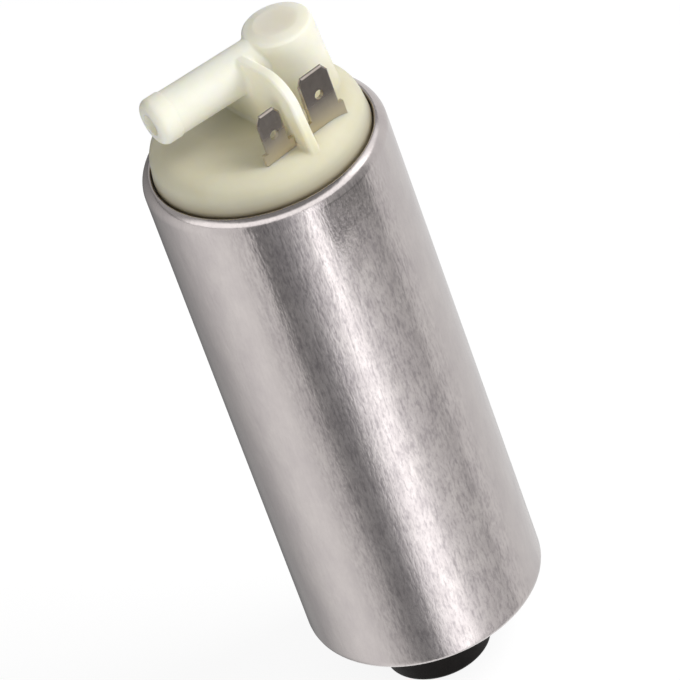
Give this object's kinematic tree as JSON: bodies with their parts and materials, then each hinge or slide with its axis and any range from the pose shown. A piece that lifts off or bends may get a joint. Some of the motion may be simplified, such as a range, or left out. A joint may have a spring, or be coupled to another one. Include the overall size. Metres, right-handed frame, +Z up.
{
  "type": "fuel pump",
  "caption": "Cylindrical in-tank electric fuel pump: crimped metal shell, plastic end cover with side outlet nozzle, blade terminals and bottom inlet neck.",
  "frame": {"origin": "on the pump axis, level with the lower end of the inlet neck that the pump stands on", "axes": "+Z up the pump axis to the outlet end, +X along the line of the blade terminals towards the wide one, -Y towards the side that the terminals stand on"},
  "size_m": [0.043, 0.043, 0.1344],
  "materials": {
    "zinc_steel": "bright zinc plate, finely drawn, satin",
    "natural_pom": "natural cream moulding, slightly waxy",
    "tinned_brass": "dull tin plate with bright bevelled edges",
    "black_plastic": "black moulding, satin",
    "valve_rubber": "moulded, dark brown",
    "seal_rubber": "black, smooth",
    "spring_steel": "drawn wire",
    "sintered_bronze": "sintered, matt",
    "carbon": "pressed carbon, matt",
    "copper": "bare or enamelled copper",
    "contact_brass": "stamped strip",
    "ferrite": "ground, matt",
    "lamination_steel": "oiled sheet",
    "ground_steel": "ground",
    "insulator": "green moulding",
    "phenolic": "brown moulding",
    "sintered_steel": "sintered and ground",
    "screw_steel": "blackened",
    "ball_steel": "polished"
  },
  "bodies": {
    "housing": {"shell": "zinc_steel", "outlet_cover": "natural_pom", "terminal_wide": "tinned_brass", "terminal_narrow": "tinned_brass", "check_valve_seat": "natural_pom", "check_valve_spring": "spring_steel", "upper_seal": "seal_rubber", "upper_bearing": "sintered_bronze", "brush_spring_front": "spring_steel", "brush_spring_rear": "spring_steel", "brush_lead_front": "copper", "brush_lead_rear": "copper", "conductor_narrow": "contact_brass", "conductor_wide": "contact_brass", "choke_core_narrow": "ferrite", "choke_core_wide": "ferrite", "choke_coil_narrow": "copper", "choke_coil_wide": "copper", "flux_ring": "lamination_steel", "magnet_left": "ferrite", "magnet_right": "ferrite", "magnet_clip_front": "spring_steel", "magnet_clip_rear": "spring_steel", "lower_bearing": "sintered_bronze", "pump_plate": "sintered_steel", "pump_ring": "sintered_steel", "pump_screws": "screw_steel", "thrust_pad": "ground_steel", "lower_seal": "seal_rubber", "relief_seat": "ground_steel", "relief_spring": "spring_steel", "inlet_cover": "black_plastic"},
    "armature": {"armature_shaft": "ground_steel", "armature_core": "lamination_steel", "core_insulator_lower": "insulator", "core_insulator_upper": "insulator", "armature_windings": "copper", "commutator_hub": "phenolic", "commutator_segments": "copper", "drive_coupling": "insulator", "inner_rotor": "sintered_steel"},
    "outer_rotor": {"outer_rotor": "sintered_steel"},
    "check_valve": {"check_valve_poppet": "valve_rubber"},
    "relief_valve": {"relief_ball": "ball_steel"},
    "brush_front": {"brush_front": "carbon"},
    "brush_rear": {"brush_rear": "carbon"}
  },
  "joints": [
    {"name": "armature_spin", "type": "hinge", "parent": "housing", "child": "armature", "pos_m": [0, 0, 0.066], "axis": [0, 0, 1], "continuous": true},
    {"name": "outer_rotor_spin", "type": "hinge", "parent": "housing", "child": "outer_rotor", "pos_m": [0, 0.0012, 0.0287], "axis": [0, 0, 1], "continuous": true},
    {"name": "check_valve_lift", "type": "slide", "parent": "housing", "child": "check_valve", "axis": [0, 0, 1], "range_m": [0, 0.0025], "stiffness_N_per_m": 150, "springref_m": -0.004, "deforming": ["check_valve_spring"]},
    {"name": "relief_valve_lift", "type": "slide", "parent": "housing", "child": "relief_valve", "axis": [0, 0, -1], "range_m": [0, 0.001], "stiffness_N_per_m": 2000, "springref_m": -0.002, "deforming": ["relief_spring"]},
    {"name": "brush_front_slide", "type": "slide", "parent": "housing", "child": "brush_front", "axis": [0, 0, 1], "range_m": [0, 0.002], "stiffness_N_per_m": 120, "springref_m": -0.006, "deforming": ["brush_spring_front", "brush_lead_front"]},
    {"name": "brush_rear_slide", "type": "slide", "parent": "housing", "child": "brush_rear", "axis": [0, 0, 1], "range_m": [0, 0.002], "stiffness_N_per_m": 120, "springref_m": -0.006, "deforming": ["brush_spring_rear", "brush_lead_rear"]}
  ],
  "couplings": [
    {"joint": "outer_rotor_spin", "follows": "armature_spin", "ratio": 0.85714}
  ]
}
